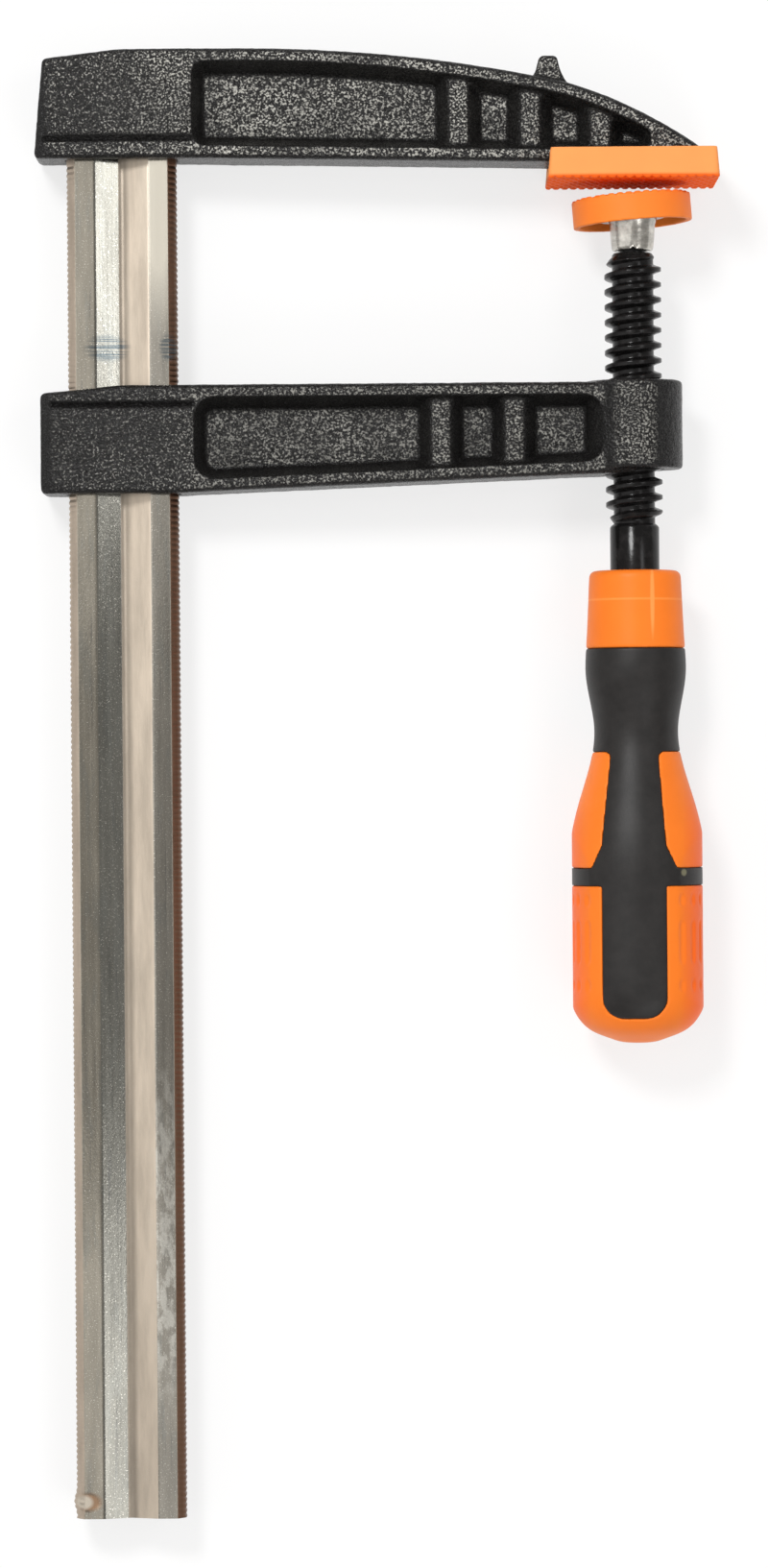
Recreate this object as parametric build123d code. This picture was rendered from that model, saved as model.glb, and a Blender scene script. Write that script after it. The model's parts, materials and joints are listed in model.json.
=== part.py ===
from build123d import *
import os
from math import cos, hypot, radians, sin, sqrt

# Screw clamp lying on its side, in millimetres.
# X runs from the rail to the spindle, Y along the rail towards the fixed arm, Z up from the flat sides.
# The origin is the middle of the fixed jaw's clamping face, on the spindle's axis.

# Cutting tools
OVERRUN = 1.0                # a cut runs past the metal by this much
REACH = 600.0                # longer than any piece

# Rail
THROAT = 120.0               # rail's inner edge to the spindle's axis
RAIL_WIDTH = 29.0
RAIL_THICKNESS = 10.0
RAIL_BEVEL = 2.2             # width of the bevel along each toothed edge
RAIL_EDGE_FLAT = 5.2         # flat left between the two bevels of an edge
RAIL_EXPOSED = 357.0         # fixed arm's underside to the rail's free end
GROOVE_WIDTH = 14.2
GROOVE_DEPTH = 2.6           # to the sharp corner that the floor radius rounds
GROOVE_FLOOR_RADIUS = 2.0
STOP_FROM_END = 4.4          # punched stop's centre to the rail's free end
STOP_FROM_EDGE = 3.2
STOP_DIAMETER = 5.4
STOP_DEPTH = 0.7
STOP_BULGE = 0.8             # metal pushed out of the edge by the punch
STOP_BULGE_DEPTH = 3.6       # across the edge's flat

# Both cast arms
ARM_DEPTH = 20.0             # across the flanges
HEAD_DEPTH = 20.6            # across the blocks round the rail
WEB_THICKNESS = 4.4
FLANGE = 3.7                 # flange height left above and below a pocket
POCKET_DRAFT = 18.0          # degrees
HEAD_FRONT = 4.6             # metal between the rail and the pocket
CAST_EDGE = 1.6              # rounding of the flanges' outer edges
HEAD_EDGE = 1.4              # rounding of the head blocks' outer edges
HEAD_STEP = 5.8              # flange left flush beside a head block
HEAD_LINE = 1.0              # width of the line between that flange and the head block
HEAD_LINE_DEPTH = 0.8
HEAD_LINE_INSET = 2.6        # from the head's end face
END_BEVEL_RUN = 3.2          # bevel down to a head's end face, along the arm
END_BEVEL_DEPTH = 2.0
RIB_BASE = 11.8              # rib's width on the web
RIB_TOP = 5.8
RIB_RISE = 5.9               # rib above the web
RIB_ROUND = 2.2

# Fixed arm
ARM_ABOVE_JAW = 6.6          # underside at the rail, above the clamping face
FIXED_HEAD_HEIGHT = 29.0
FIXED_HEAD_BACK = 8.4        # metal behind the rail's outer edge
FIXED_HEAD_LEAN = 2.4        # end face leans in by this much at the top
FIXED_HEAD_SLOPE = 2.4       # fall of the back towards the end face
BACK_START = 16.0            # straight back past the rail's inner edge
BACK_DROP = 9.6              # fall of the back from the head to the shoulder
BACK_BOW = 2.4
SHOULDER_RUN = 34.5          # from the nose back to the shoulder
NOSE_BOW = 1.5
NOSE_INSET = 5.0             # nose of the arm behind the pad's end
NOSE_TOP = 9.0
TOE_IN = 2.6                 # fall of the underside from the rail to the nose
FIXED_POCKET_CORNER = 3.0
RAIL_TOP_RECESS = 1.2        # rail's end below the head's back
FIXED_RIBS = (63.2, 44.4, 26.0)  # behind the nose
NUB_RUN = 39.5               # from the nose back to the nub
NUB_BASE = 12.4
NUB_TIP = 5.2
NUB_HEIGHT = 7.6
NUB_ROOT = 1.0               # sunk in the arm's back
NUB_HOLLOW = 0.8             # hollow of the nub's sides
NUB_DEPTH = 9.0
NUB_EDGE = 1.4

# Fixed jaw pad
PAD_LENGTH = 45.0
PAD_OVERHANG = 5.5           # pad past each side of the arm
PAD_HEIGHT = 8.2
PAD_DRAFT = 5.0              # degrees
PAD_CORNER = 1.6
PAD_FLOOR = 1.9
PAD_WALL = 2.2
PAD_LIP = 0.8                # snap lip over the jaw foot
PAD_EDGE = 0.5
FOOT_HEIGHT = 4.0
FOOT_CORNER = 2.4
PAD_ARM_CLEARANCE = 0.35     # round the arm where it leaves the pad

# Sliding arm at rest
ARM_TOP = -52.5              # upper flange, below the clamping face
SLIDE_HEAD_HEIGHT = 28.8
SLIDE_HEAD_BACK = 7.2
SLIDE_HEAD_SLOPE = 2.0
SLIDE_POCKET_CORNER = 5.0
SLIDE_END_HEIGHT = 24.2      # arm height at the boss
BOSS_DIAMETER = 26.0
BOSS_HEIGHT = 23.6
BOSS_RISE = 0.5              # boss above the upper flange
BOSS_EDGE = 1.0
BOSS_POCKET_LAP = 4.5        # pocket's end inside the boss's outline
SLIDE_RIBS = (50.9, 31.6)    # from the spindle's axis towards the rail
SLOT_CLEARANCE = 0.35        # each side of the rail

# Spindle
THREAD_DIAMETER = 15.0       # over the crests
SHANK_DIAMETER = 13.0
THREAD_LENGTH = 68.4
THREAD_CHAMFER = 1.0         # from the thread's end to the shank
SHANK_LENGTH = 12.4          # plain length in view above the handle
BORE_CLEARANCE = 0.07        # radial, spindle in the boss
SHOULDER_GAP = 0.8           # socket's lower end to the spindle's shoulder
SHOULDER_DIAMETER = 10.8
SHOULDER_CONE = 2.6          # height of the run-out above the thread
JOURNAL_DIAMETER = 7.0
TIP_DIAMETER = 8.4           # ball tip inside the socket
TANG_LENGTH = 72.0           # inside the handle
TANG_DIAMETER = 11.0
TANG_FLATS = 7.6             # across the flats that key the handle
TANG_COLLAR = 9.0            # full-diameter shank inside the handle

# Swivel socket
SOCKET_HEAD_DIAMETER = 13.0  # ball head in the pressure plate
SOCKET_TOP_DIAMETER = 11.8
SOCKET_END_DIAMETER = 10.7
SOCKET_LENGTH = 9.55         # ball head's centre to the lower end
SOCKET_HEAD_CROP = 1.6       # flat top above the ball head's centre
TIP_DROP = 4.85              # ball tip's centre below the ball head's centre
SOCKET_CLEARANCE = 0.1       # radial, on the ball tip
JOURNAL_CLEARANCE = 0.2      # radial, on the journal

# Pressure pad
JAW_GAP = 3.45               # fixed jaw face to the pressure face, at rest
PAD_TILT = 4.5               # degrees, as the pad leans at rest
CAP_DIAMETER = 31.3
CAP_HEIGHT = 7.4
CAP_TOP = 2.0
CAP_WALL = 1.6
CAP_EDGE = 0.6
PLATE_THICKNESS = 2.4
PLATE_HUB_DIAMETER = 16.6
PIVOT_DEPTH = 2.9            # ball head's centre below the plate's top
HUB_DEPTH = 1.3              # hub below the ball head's centre
SEAT_CLEARANCE = 0.08        # radial, plate on the ball head

# Handle, with its places as shares of its length from the top
HANDLE_TURN = -5.5           # degrees, as the handle stands at rest
HANDLE_LENGTH = 124.4
COLLAR_TOP_DIAMETER = 24.2
COLLAR_EDGE = 1.8
COLLAR_DIAMETER = 26.1
COLLAR_RATIO = 0.165         # collar's lower edge
SWELL_DIAMETER = 26.5        # widest above the waist
SWELL_RATIO = 0.214
WAIST_DIAMETER = 22.1
WAIST_RATIO = 0.336
FLANK_DIAMETER = 30.8        # halfway from the waist to the widest part
FLANK_RATIO = 0.494
GRIP_DIAMETER = 36.4         # widest, front to back
GRIP_RATIO = 0.643
GRIP_END_RATIO = 0.852
DOME_RATIOS = ((0.87, 6.6), (0.71, 3.6), (0.41, 1.2))  # share of the widest radius, height above the end
GRIP_WIDTH = 34.4            # across the side facets
FACET_RADIUS = 20.5
SOFT_THICKNESS = 2.0         # black grip over the core
PANEL_RATIO = 0.384          # side panels' upper edge
STRIPE_TOP_WIDTH = 12.2
STRIPE_WIDTH = 16.8
STRIPE_FLARE_WIDTH = 22.4
FLARE_LENGTH = 5.9
RING_RATIO = 0.629           # ring's upper edge
RING_WIDTH = 4.6
STRIPE_END_RATIO = 0.944
STRIPE_END_RADIUS = 5.5
PANEL_CORNER = 1.5
DIMPLE_RADIUS = 1.5
DIMPLE_DEPTH = 0.5
DIMPLE_ANGLES = (43.5, 59.0, 74.5, 90.0, 105.5, 121.0, 136.5)
DIMPLE_ROWS = ((0.696, 1.2), (0.785, 9.4), (0.876, 1.2))  # place of the centre, straight length

# Places that follow from the sizes
rail_inner = -THROAT
rail_outer = rail_inner - RAIL_WIDTH
rail_middle = rail_inner - RAIL_WIDTH / 2
rail_end = ARM_ABOVE_JAW - RAIL_EXPOSED
fixed_back = ARM_ABOVE_JAW + FIXED_HEAD_HEIGHT
rail_top = fixed_back - RAIL_TOP_RECESS
pocket_start = rail_inner + HEAD_FRONT
nose_x = PAD_LENGTH / 2 - NOSE_INSET
pad_depth = ARM_DEPTH + 2 * PAD_OVERHANG
boss_top = ARM_TOP + BOSS_RISE
boss_radius = BOSS_DIAMETER / 2
plate_top = -JAW_GAP - CAP_TOP
pivot = plate_top - PIVOT_DEPTH
socket_end = pivot - SOCKET_LENGTH
shoulder = socket_end - SHOULDER_GAP
thread_start = shoulder - SHOULDER_CONE
thread_end = thread_start - THREAD_LENGTH
handle_top = thread_end - SHANK_LENGTH
handle_end = handle_top - HANDLE_LENGTH


def bow(start, end, rise):
    """An arc from start to end that swells to the left of its chord by rise."""
    (x0, y0), (x1, y1) = start, end
    chord = hypot(x1 - x0, y1 - y0)
    middle = ((x0 + x1) / 2 - (y1 - y0) / chord * rise, (y0 + y1) / 2 + (x1 - x0) / chord * rise)
    return ThreePointArc(start, middle, end)


def slab(x0, x1, y0, y1, depth):
    """A block between two X and two Y values, centred on the clamp's middle plane."""
    return Pos((x0 + x1) / 2, (y0 + y1) / 2, 0) * Box(x1 - x0, y1 - y0, depth)


def frame(x0, x1, y0, y1):
    """A rectangle between two X and two Y values."""
    return Pos((x0 + x1) / 2, (y0 + y1) / 2) * Rectangle(x1 - x0, y1 - y0)


def level(y):
    """The plane across the rail and the spindle at a height."""
    return Plane(origin=(0, y, 0), x_dir=(1, 0, 0), z_dir=(0, 1, 0))


def station(share):
    """A place along the handle, from a share of its length."""
    return handle_top - share * HANDLE_LENGTH


def turned(*lines):
    """A solid turned about the spindle's axis from a closed half profile."""
    return revolve(make_face(Curve() + list(lines)), Axis.Y)


def end_edges(solid):
    """The edges round both flat sides of a plate."""
    levels = solid.edges().filter_by(lambda e: abs(e.tangent_at(0.5).Z) < 0.01).group_by(Axis.Z)
    return levels[0] + levels[-1]


def rail_bar(low, high, clearance=0.0):
    """The rail's section between two heights, or a slot for it with clearance on every side."""
    half, thick = RAIL_WIDTH / 2 + clearance, RAIL_THICKNESS / 2 + clearance
    flat, bevel = RAIL_EDGE_FLAT / 2 + clearance, RAIL_BEVEL
    section = Polygon(
        (half, -flat), (half, flat), (half - bevel, thick), (bevel - half, thick),
        (-half, flat), (-half, -flat), (bevel - half, -thick), (half - bevel, -thick), align=None,
    )
    return extrude(level(low) * Pos(rail_middle, 0) * section, high - low)


def make_rail():
    bar = rail_bar(rail_end, rail_top)
    half, thick = GROOVE_WIDTH / 2, RAIL_THICKNESS / 2
    groove = Polygon((-half, thick), (0, thick - GROOVE_DEPTH), (half, thick), align=None)
    groove = fillet(groove.vertices().sort_by(Axis.Y)[0], GROOVE_FLOOR_RADIUS)
    groove = extrude(level(rail_end) * Pos(rail_middle, 0) * groove, rail_top - rail_end)
    bar -= groove
    bar -= mirror(groove, Plane.XY)
    stop_x, stop_y = rail_outer + STOP_FROM_EDGE, rail_end + STOP_FROM_END
    bulge = Pos(rail_outer, stop_y, 0) * Cylinder(STOP_DIAMETER / 2, STOP_BULGE_DEPTH)
    outer, inner = rail_outer - STOP_BULGE, rail_outer + OVERRUN
    bulge &= slab(outer, inner, rail_end, stop_y + STOP_DIAMETER, RAIL_THICKNESS)
    punch = Pos(stop_x, stop_y, thick) * Cylinder(STOP_DIAMETER / 2, 2 * STOP_DEPTH)
    return bar + bulge - punch


def pocketed(outline, ribs, pocket_end, corner, head, line):
    """A cast arm: a flanged plate with a drafted pocket in each side, round ribs and a proud head block."""
    plate = extrude(outline, ARM_DEPTH / 2, both=True)
    solid = fillet(end_edges(plate), CAST_EDGE)
    pocket = offset(outline, -FLANGE) & frame(pocket_start, pocket_end, -REACH, REACH)
    pocket = fillet(pocket.vertices(), corner)
    depth = (ARM_DEPTH - WEB_THICKNESS) / 2
    cut = extrude(Pos(0, 0, ARM_DEPTH / 2) * pocket, -depth, taper=POCKET_DRAFT)
    solid -= cut
    solid -= mirror(cut, Plane.XY)
    height = WEB_THICKNESS / 2 + RIB_RISE
    core = extrude(offset(outline, -FLANGE / 2), height, both=True)
    base, top, foot = RIB_BASE / 2, RIB_TOP / 2, WEB_THICKNESS / 2
    half = Polygon(
        (-base, 0), (-base, foot), (-top, height), (top, height), (base, foot), (base, 0), align=None,
    )
    half = fillet(half.vertices().group_by(Axis.Y)[-1], RIB_ROUND)
    section = half + mirror(half, Plane.XZ)
    for x in ribs:
        solid += extrude(Plane.XZ * Pos(x, 0) * section, REACH, both=True) & core
    block = extrude(outline & head, HEAD_DEPTH / 2, both=True)
    solid += fillet(end_edges(block), HEAD_EDGE)
    cuts = extrude(Pos(0, 0, ARM_DEPTH / 2 - HEAD_LINE_DEPTH) * line, HEAD_DEPTH)
    end, side = outline.bounding_box().min.X, HEAD_DEPTH / 2
    wedge = Polygon(
        (end - OVERRUN, side - END_BEVEL_DEPTH), (end, side - END_BEVEL_DEPTH), (end + END_BEVEL_RUN, side),
        (end + END_BEVEL_RUN, side + OVERRUN), (end - OVERRUN, side + OVERRUN), align=None,
    )
    cuts += extrude(Plane.XZ * wedge, REACH, both=True)
    return solid - cuts - mirror(cuts, Plane.XY)


def make_fixed_arm():
    low, back = ARM_ABOVE_JAW, fixed_back
    end = rail_outer - FIXED_HEAD_BACK
    shoulder_point = (nose_x - SHOULDER_RUN, back - BACK_DROP)
    back_point = (rail_inner + BACK_START, back)
    nose = (nose_x, NOSE_TOP)
    slope_point = (rail_middle, back)
    end_top = (end + FIXED_HEAD_LEAN, back - FIXED_HEAD_SLOPE)
    under = [(nose_x, low - TOE_IN), (rail_inner, low), (end, low)]
    outline = make_face(
        Curve() + [
            Polyline(nose, *under, end_top, slope_point, back_point),
            bow(back_point, shoulder_point, BACK_BOW),
            bow(shoulder_point, nose, NOSE_BOW),
        ]
    )
    corners = outline.vertices().group_by(Axis.X)
    outline = fillet(corners[0] + corners[1], CAST_EDGE)
    step = low + HEAD_STEP
    head = frame(end, pocket_start, step, REACH)
    line = frame(end + HEAD_LINE_INSET, pocket_start, step - HEAD_LINE, step)
    ribs = [nose_x - run for run in FIXED_RIBS]
    solid = pocketed(outline, ribs, nose_x, FIXED_POCKET_CORNER, head, line)
    solid += make_nub(nose_x - NUB_RUN, back - BACK_DROP)
    foot = RectangleRounded(PAD_LENGTH - 2 * PAD_WALL, pad_depth - 2 * PAD_WALL, FOOT_CORNER)
    solid += extrude(level(PAD_FLOOR) * foot, FOOT_HEIGHT)
    return solid - rail_bar(low - OVERRUN, back + OVERRUN)


def make_nub(middle, base):
    """The tapered, hollow-sided nub on the fixed arm's back."""
    low, top = base - NUB_ROOT, base + NUB_HEIGHT
    left, right = middle - NUB_BASE / 2, middle + NUB_BASE / 2
    tip_left, tip_right = middle - NUB_TIP / 2, middle + NUB_TIP / 2
    outline = make_face(
        Curve() + [
            Polyline((tip_right, top), (tip_left, top)),
            bow((tip_left, top), (left, low), NUB_HOLLOW),
            Polyline((left, low), (right, low)),
            bow((right, low), (tip_right, top), NUB_HOLLOW),
        ]
    )
    outline = fillet(outline.vertices().group_by(Axis.Y)[-1], NUB_EDGE)
    return extrude(outline, NUB_DEPTH / 2, both=True)


def make_fixed_jaw_pad():
    face = RectangleRounded(PAD_LENGTH, pad_depth, PAD_CORNER)
    body = extrude(level(0) * face, PAD_HEIGHT, taper=PAD_DRAFT)
    body = fillet(body.edges().group_by(Axis.Y)[0], PAD_EDGE)
    length, depth = PAD_LENGTH - 2 * PAD_WALL, pad_depth - 2 * PAD_WALL
    body -= extrude(level(PAD_FLOOR) * RectangleRounded(length, depth, FOOT_CORNER), FOOT_HEIGHT)
    mouth = RectangleRounded(length - 2 * PAD_LIP, depth - 2 * PAD_LIP, FOOT_CORNER)
    body -= extrude(level(PAD_FLOOR) * mouth, PAD_HEIGHT)
    underside = ARM_ABOVE_JAW - TOE_IN * THROAT / (THROAT + nose_x)
    low, width = underside - PAD_ARM_CLEARANCE, ARM_DEPTH + 2 * PAD_ARM_CLEARANCE
    return body - slab(-PAD_LENGTH, 0, low, PAD_HEIGHT + OVERRUN, width)


def make_sliding_arm():
    end = rail_outer - SLIDE_HEAD_BACK
    low = ARM_TOP - SLIDE_HEAD_HEIGHT
    outline = make_face(
        Polyline(
            (end, low), (rail_inner, low), (0, ARM_TOP - SLIDE_END_HEIGHT), (0, ARM_TOP),
            (rail_middle, ARM_TOP), (end, ARM_TOP - SLIDE_HEAD_SLOPE), close=True,
        )
    )
    outline = fillet(outline.vertices().group_by(Axis.X)[0], CAST_EDGE)
    step = ARM_TOP - HEAD_STEP
    head = frame(end, pocket_start, -REACH, step)
    line = frame(end + HEAD_LINE_INSET, pocket_start, step, step + HEAD_LINE)
    ribs, pocket_end = [-run for run in SLIDE_RIBS], BOSS_POCKET_LAP - boss_radius
    solid = pocketed(outline, ribs, pocket_end, SLIDE_POCKET_CORNER, head, line)
    boss = Pos(0, boss_top - BOSS_HEIGHT / 2, 0) * Rot(90, 0, 0) * Cylinder(boss_radius, BOSS_HEIGHT)
    solid += fillet(boss.edges().filter_by(GeomType.CIRCLE), BOSS_EDGE)
    bore = THREAD_DIAMETER / 2 + BORE_CLEARANCE
    solid -= Pos(0, boss_top - BOSS_HEIGHT / 2, 0) * Rot(90, 0, 0) * Cylinder(bore, 2 * BOSS_HEIGHT)
    return solid - rail_bar(low - OVERRUN, ARM_TOP + OVERRUN, SLOT_CLEARANCE)


def make_spindle():
    tip, journal = TIP_DIAMETER / 2, JOURNAL_DIAMETER / 2
    tip_middle = pivot - TIP_DROP
    neck_y = tip_middle - sqrt(tip ** 2 - journal ** 2)
    collar_end = handle_top - TANG_COLLAR
    tang_end = handle_top - TANG_LENGTH
    shank, thread, tang = SHANK_DIAMETER / 2, THREAD_DIAMETER / 2, TANG_DIAMETER / 2
    body = turned(
        ThreePointArc((0, tip_middle + tip), (tip, tip_middle), (journal, neck_y)),
        Polyline(
            (journal, neck_y), (journal, shoulder), (SHOULDER_DIAMETER / 2, shoulder),
            (thread, thread_start), (thread, thread_end), (shank, thread_end - THREAD_CHAMFER),
            (shank, collar_end), (tang, collar_end), (tang, tang_end), (0, tang_end), (0, tip_middle + tip),
        ),
    )
    for side in (-1, 1):
        z = side * (TANG_FLATS + TANG_DIAMETER) / 2
        body -= Pos(0, (collar_end + tang_end) / 2, z) * Box(2 * tang, collar_end - tang_end, TANG_DIAMETER)
    return body


def make_swivel_socket():
    head, seat = SOCKET_HEAD_DIAMETER / 2, SOCKET_TOP_DIAMETER / 2
    crop = sqrt(head ** 2 - SOCKET_HEAD_CROP ** 2)
    below = sqrt(head ** 2 - seat ** 2)
    end = SOCKET_END_DIAMETER / 2
    body = turned(
        ThreePointArc((crop, pivot + SOCKET_HEAD_CROP), (head, pivot), (seat, pivot - below)),
        Polyline(
            (seat, pivot - below), (end, socket_end), (0, socket_end),
            (0, pivot + SOCKET_HEAD_CROP), (crop, pivot + SOCKET_HEAD_CROP),
        ),
    )
    body -= Pos(0, pivot - TIP_DROP, 0) * Sphere(TIP_DIAMETER / 2 + SOCKET_CLEARANCE)
    mouth = JOURNAL_DIAMETER / 2 + JOURNAL_CLEARANCE
    return body - Pos(0, socket_end, 0) * Rot(90, 0, 0) * Cylinder(mouth, 2 * (SOCKET_LENGTH - TIP_DROP))


def tilted(solid):
    """Lean the pressure pad about its ball head."""
    return Pos(0, pivot, 0) * Rot(0, 0, PAD_TILT) * Pos(0, -pivot, 0) * solid


def make_pressure_plate():
    rim, hub = CAP_DIAMETER / 2 - CAP_WALL, PLATE_HUB_DIAMETER / 2
    low, bottom = plate_top - PLATE_THICKNESS, pivot - HUB_DEPTH
    body = turned(
        Polyline(
            (0, plate_top), (rim, plate_top), (rim, low), (hub, low), (hub, bottom), (0, bottom), close=True
        )
    )
    return tilted(body - Pos(0, pivot, 0) * Sphere(SOCKET_HEAD_DIAMETER / 2 + SEAT_CLEARANCE))


def make_pressure_cap():
    radius, rim = CAP_DIAMETER / 2, CAP_DIAMETER / 2 - CAP_WALL
    face, low = -JAW_GAP, -JAW_GAP - CAP_HEIGHT
    body = turned(
        Polyline(
            (0, face), (radius, face), (radius, low), (rim, low), (rim, plate_top), (0, plate_top),
            close=True,
        )
    )
    return tilted(fillet(body.edges().group_by(Axis.Y)[-1], CAP_EDGE))


def handle_body(inset):
    """The handle's outer form, or the core left under a skin of the inset's thickness."""
    top, end = handle_top - inset, handle_end + inset
    widest, narrowing = station(GRIP_RATIO), station(GRIP_END_RATIO)
    collar, grip = COLLAR_TOP_DIAMETER / 2 - inset, GRIP_DIAMETER / 2 - inset
    edge = handle_top - COLLAR_EDGE
    side = Spline(
        (collar, edge),
        (COLLAR_DIAMETER / 2 - inset, station(COLLAR_RATIO)),
        (SWELL_DIAMETER / 2 - inset, station(SWELL_RATIO)),
        (WAIST_DIAMETER / 2 - inset, station(WAIST_RATIO)),
        (FLANK_DIAMETER / 2 - inset, station(FLANK_RATIO)),
        (grip, widest),
        tangents=((0.05, -1), (0, -1)),
    )
    dome = Spline(
        (grip, narrowing),
        *((share * grip, end + height) for share, height in DOME_RATIOS),
        (0, end),
        tangents=((0, -1), (-1, 0)),
    )
    quarter_round = COLLAR_EDGE * (1 - cos(radians(45)))
    body = turned(
        Polyline((0, end), (0, top), (collar - COLLAR_EDGE, top)),
        bow((collar - COLLAR_EDGE, top), (collar, edge), quarter_round),
        side,
        Line((grip, widest), (grip, narrowing)),
        dome,
    )
    radius, shift = FACET_RADIUS - inset, FACET_RADIUS - GRIP_WIDTH / 2
    lens = Pos(-shift, 0) * Circle(radius) & Pos(shift, 0) * Circle(radius)
    return body & extrude(level(end) * lens, top - end)


def soft_region():
    """Where the black grip shows: the waist, a ring, and a stripe down the front and the back."""
    wide = GRIP_DIAMETER
    collar, panel, ring = station(COLLAR_RATIO), station(PANEL_RATIO), station(RING_RATIO)
    ring_end, stripe_end = ring - RING_WIDTH, station(STRIPE_END_RATIO)
    top, plain, flare = STRIPE_TOP_WIDTH / 2, STRIPE_WIDTH / 2, STRIPE_FLARE_WIDTH / 2
    flare_start = ring + FLARE_LENGTH
    outline = Polygon(
        (-wide, collar), (-wide, panel), (-top, panel), (-plain, flare_start), (-flare, ring),
        (-wide, ring), (-wide, ring_end), (-plain, ring_end), (-plain, stripe_end),
        (plain, stripe_end), (plain, ring_end), (wide, ring_end), (wide, ring),
        (flare, ring), (plain, flare_start), (top, panel), (wide, panel), (wide, collar),
        align=None,
    )
    outline = fillet(outline.vertices().group_by(Axis.Y)[0], STRIPE_END_RADIUS)
    at_panel = min(outline.vertices().group_by(Axis.Y), key=lambda group: abs(group[0].Y - panel))
    outline = fillet(at_panel.sort_by(Axis.X)[1:-1], PANEL_CORNER)
    return extrude(outline, GRIP_DIAMETER, both=True)


def dimples():
    """Shallow round and long finger dimples in the lower side panels."""
    shift = FACET_RADIUS - GRIP_WIDTH / 2
    tools = []
    for side in (0, 180):
        for angle in DIMPLE_ANGLES:
            out = angle - 90
            reach = -shift * cos(radians(out)) + sqrt(FACET_RADIUS ** 2 - (shift * sin(radians(out))) ** 2)
            reach = min(reach, GRIP_DIAMETER / 2)
            for share, straight in DIMPLE_ROWS:
                rod = Rot(90, 0, 0) * Cylinder(DIMPLE_RADIUS, straight)
                rod += Pos(0, straight / 2, 0) * Sphere(DIMPLE_RADIUS)
                rod += Pos(0, -straight / 2, 0) * Sphere(DIMPLE_RADIUS)
                place = Pos(reach + DIMPLE_RADIUS - DIMPLE_DEPTH, station(share), 0)
                tools.append(Rot(0, side + out, 0) * place * rod)
    return tools


def make_handle(spindle):
    outer, inner = handle_body(0), handle_body(SOFT_THICKNESS)
    grip = (outer - inner) & soft_region()
    core = outer - grip - dimples()
    turn = Rot(0, HANDLE_TURN, 0)
    return turn * core - spindle, turn * grip


spindle = make_spindle()
handle_core, handle_grip = make_handle(spindle)
nodes = {
    "rail": make_rail(),
    "fixed_arm": make_fixed_arm(),
    "fixed_jaw_pad": make_fixed_jaw_pad(),
    "sliding_arm": make_sliding_arm(),
    "spindle": spindle,
    "swivel_socket": make_swivel_socket(),
    "pressure_plate": make_pressure_plate(),
    "pressure_cap": make_pressure_cap(),
    "handle_core": handle_core,
    "handle_grip": handle_grip,
}

os.makedirs("parts", exist_ok=True)
for name, shape in nodes.items():
    export_step(shape, f"parts/{name}.step")
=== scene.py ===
import json
from math import atan2, cos, exp, floor, pi, radians, sin, sqrt, tan

import bmesh
import bpy
from bpy.props import FloatProperty, FloatVectorProperty, IntProperty, PointerProperty
from mathutils import Matrix, Vector


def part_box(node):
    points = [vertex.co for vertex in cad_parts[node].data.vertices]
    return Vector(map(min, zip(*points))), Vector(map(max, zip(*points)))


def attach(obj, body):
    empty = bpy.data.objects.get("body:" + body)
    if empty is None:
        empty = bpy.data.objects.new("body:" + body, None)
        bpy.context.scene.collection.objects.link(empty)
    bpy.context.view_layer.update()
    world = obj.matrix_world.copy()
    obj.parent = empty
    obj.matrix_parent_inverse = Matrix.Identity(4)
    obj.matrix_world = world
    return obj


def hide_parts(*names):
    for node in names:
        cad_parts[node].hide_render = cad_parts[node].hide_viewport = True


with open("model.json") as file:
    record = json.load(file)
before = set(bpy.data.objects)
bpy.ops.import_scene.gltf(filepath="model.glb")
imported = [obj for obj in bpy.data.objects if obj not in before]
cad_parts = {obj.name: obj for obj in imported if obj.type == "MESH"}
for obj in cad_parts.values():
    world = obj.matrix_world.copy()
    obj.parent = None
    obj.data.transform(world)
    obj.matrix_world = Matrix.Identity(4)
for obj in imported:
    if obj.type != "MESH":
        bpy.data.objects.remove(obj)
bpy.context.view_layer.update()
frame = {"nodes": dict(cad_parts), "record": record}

bl_info = {
    "name": "Screw clamp finish",
    "version": (1, 0, 0),
    "blender": (4, 5, 0),
    "location": "3D View > Sidebar > Clamp",
    "description": "Dresses the packed screw clamp: rail, castings, spindle, pads and two-tone handle",
    "category": "Object",
}

RAIL_LOW, RAIL_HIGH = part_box("rail")
SPINDLE_LOW, SPINDLE_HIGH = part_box("spindle")
SOCKET_LOW, SOCKET_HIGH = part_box("swivel_socket")
FIXED_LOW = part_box("fixed_arm")[0]
SLIDING_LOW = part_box("sliding_arm")[0]
CORE_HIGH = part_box("handle_core")[1]
GRIP_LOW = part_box("handle_grip")[0]
TILT = {j["name"]: j for j in frame["record"]["behaviour"]["joints"]}["pad_tilt"]
PIVOT = Vector(TILT["pos_m"])
PRESSURE_FACE = {m["name"]: m for m in frame["record"]["mounts"]}["pressure_face"]

# The rail's section and its stop, in metres.
STOP_SWELL = 0.0008  # how far the punched stop swells past the rail's left edge in the solid
RAIL_MIDDLE = (RAIL_LOW.x + STOP_SWELL + RAIL_HIGH.x) / 2
RAIL_HALF = (RAIL_HIGH.x - RAIL_LOW.x - STOP_SWELL) / 2
RIGHT_LAND = RAIL_MIDDLE + RAIL_HALF * 0.67
GROOVE_LIP = 0.003  # radius of the groove's upper edges
ROWS_PER_TOOTH = 4
TEETH_UNDER_ARM = 0.004
STOP = Vector((RAIL_MIDDLE - RAIL_HALF + 0.0032, RAIL_LOW.y + 0.0044))
STOP_RADIUS, STOP_RIM, STOP_DEPTH = 0.0031, 0.0016, 0.00008
STOP_OVAL = 1.3  # its length across the rail to its length along it
BULGE_HEIGHT, BULGE_LENGTH, BULGE_REACH = 0.0007, 0.0022, 0.006
FRONT_FROM = 0.003  # height from which a point of the section is on the front
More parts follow.
